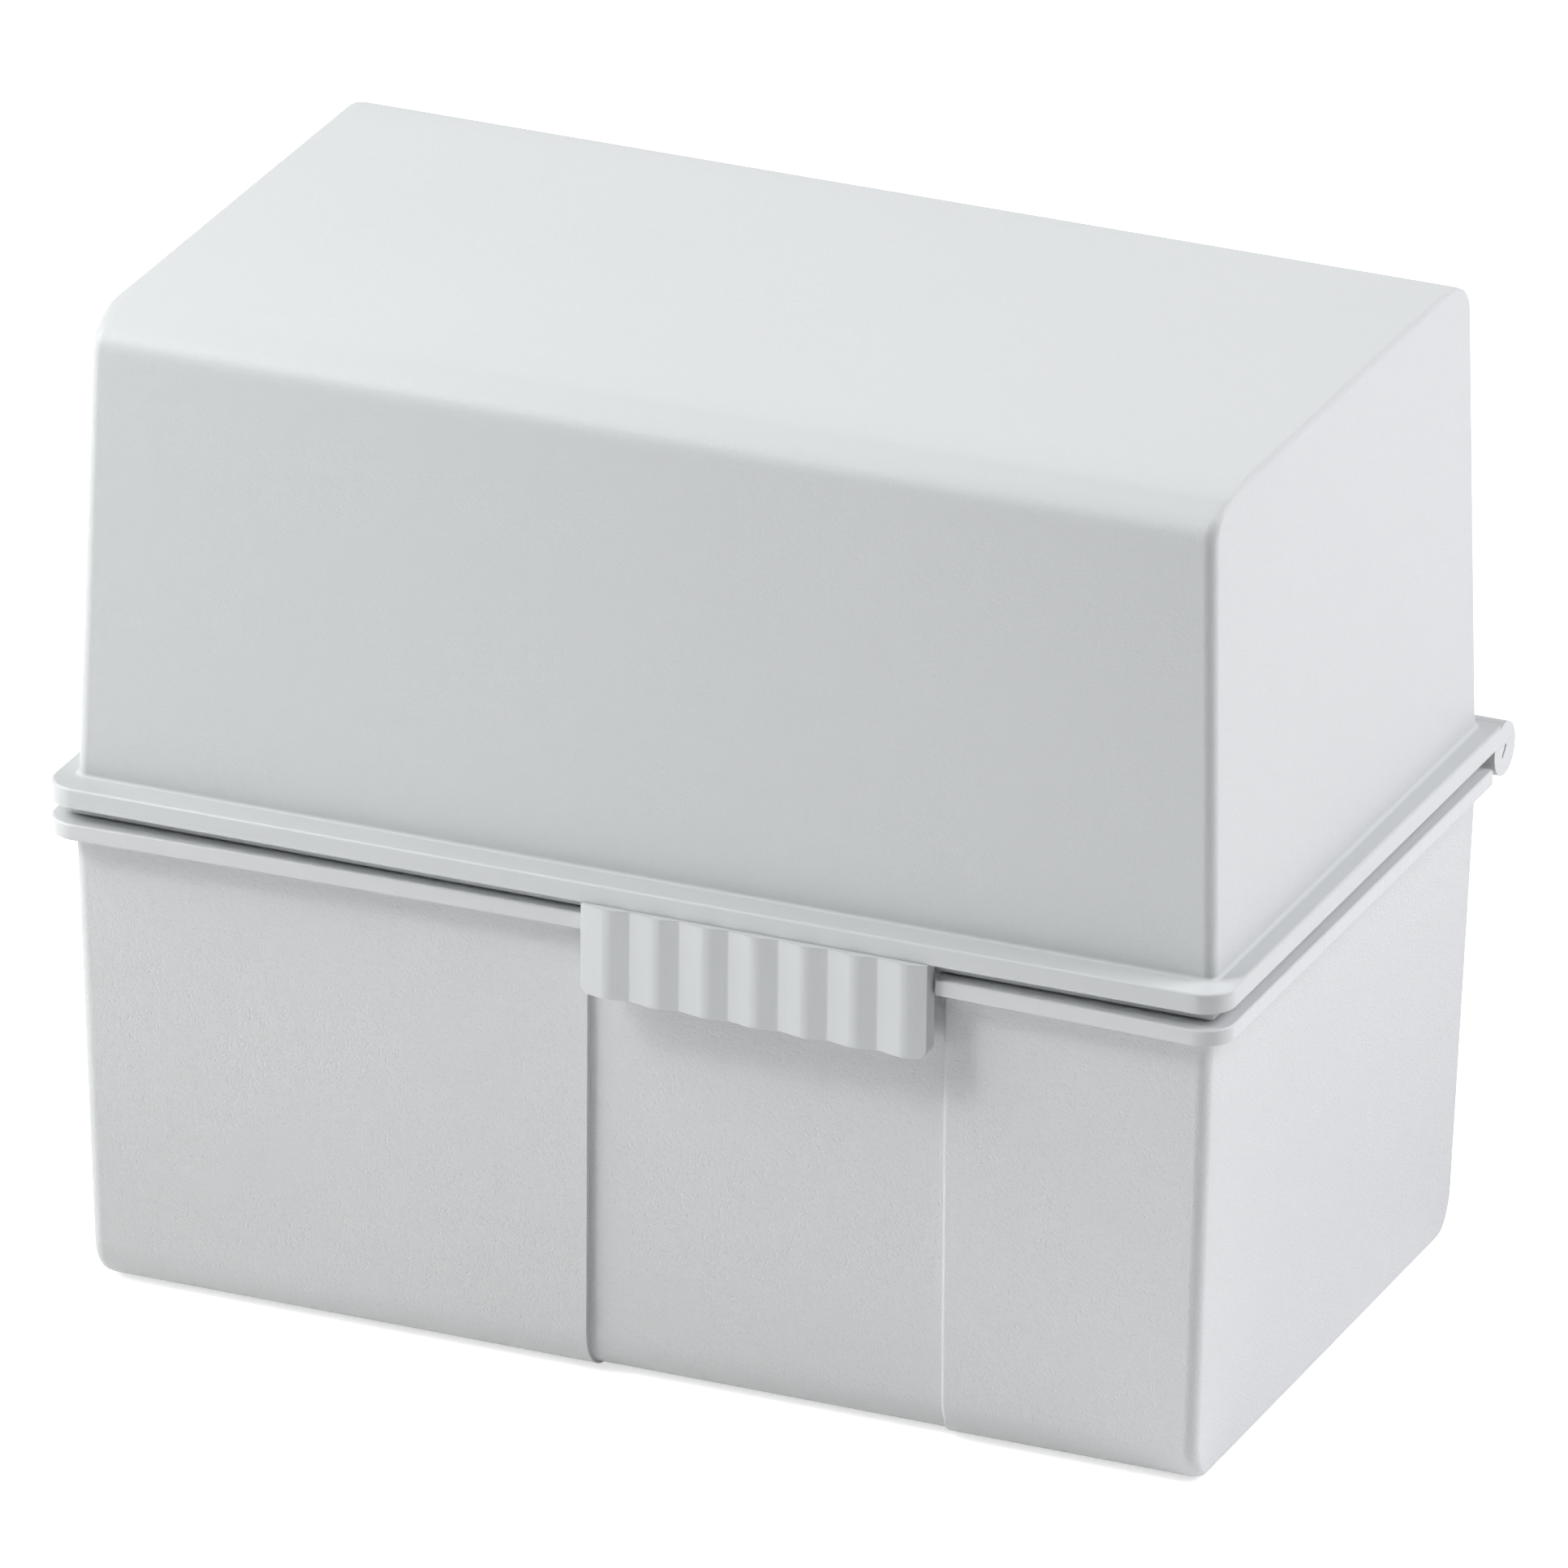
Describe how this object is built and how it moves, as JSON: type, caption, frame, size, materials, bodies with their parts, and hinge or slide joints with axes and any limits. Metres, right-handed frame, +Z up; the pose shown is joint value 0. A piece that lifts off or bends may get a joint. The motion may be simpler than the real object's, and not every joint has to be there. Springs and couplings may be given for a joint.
{
  "type": "index card box",
  "caption": "Moulded index card box: deep tub, tall hinged lid with a ribbed snap latch at the front, steel hinge pin and a sliding card support plate.",
  "frame": {"origin": "middle of the bottom of the closed box, at the height of the surface it stands on", "axes": "+X along the front towards the right end as seen from the front, +Y from the front latch to the hinge at the back, +Z up"},
  "size_m": [0.122, 0.0752, 0.1009],
  "materials": {
    "tub_plastic": "fine spark-eroded grain on the walls, smoother rim",
    "lid_plastic": "fine spark-eroded grain on the walls, smoother rim and latch",
    "hinge_steel": "drawn wire",
    "sheet_steel": "zinc-plated sheet"
  },
  "bodies": {
    "tub": {"base_tub": "tub_plastic", "hinge_pin": "hinge_steel"},
    "lid": {"lid_cover": "lid_plastic"},
    "plate": {"card_support": "sheet_steel"}
  },
  "joints": [
    {"name": "lid_hinge", "type": "hinge", "parent": "tub", "child": "lid", "pos_m": [0, 0.03487, 0.05082], "axis": [-1, 0, 0], "range_deg": [0, 110]},
    {"name": "plate_slide", "type": "slide", "parent": "tub", "child": "plate", "axis": [0, -1, 0], "range_m": [-0.0025, 0.03]}
  ]
}
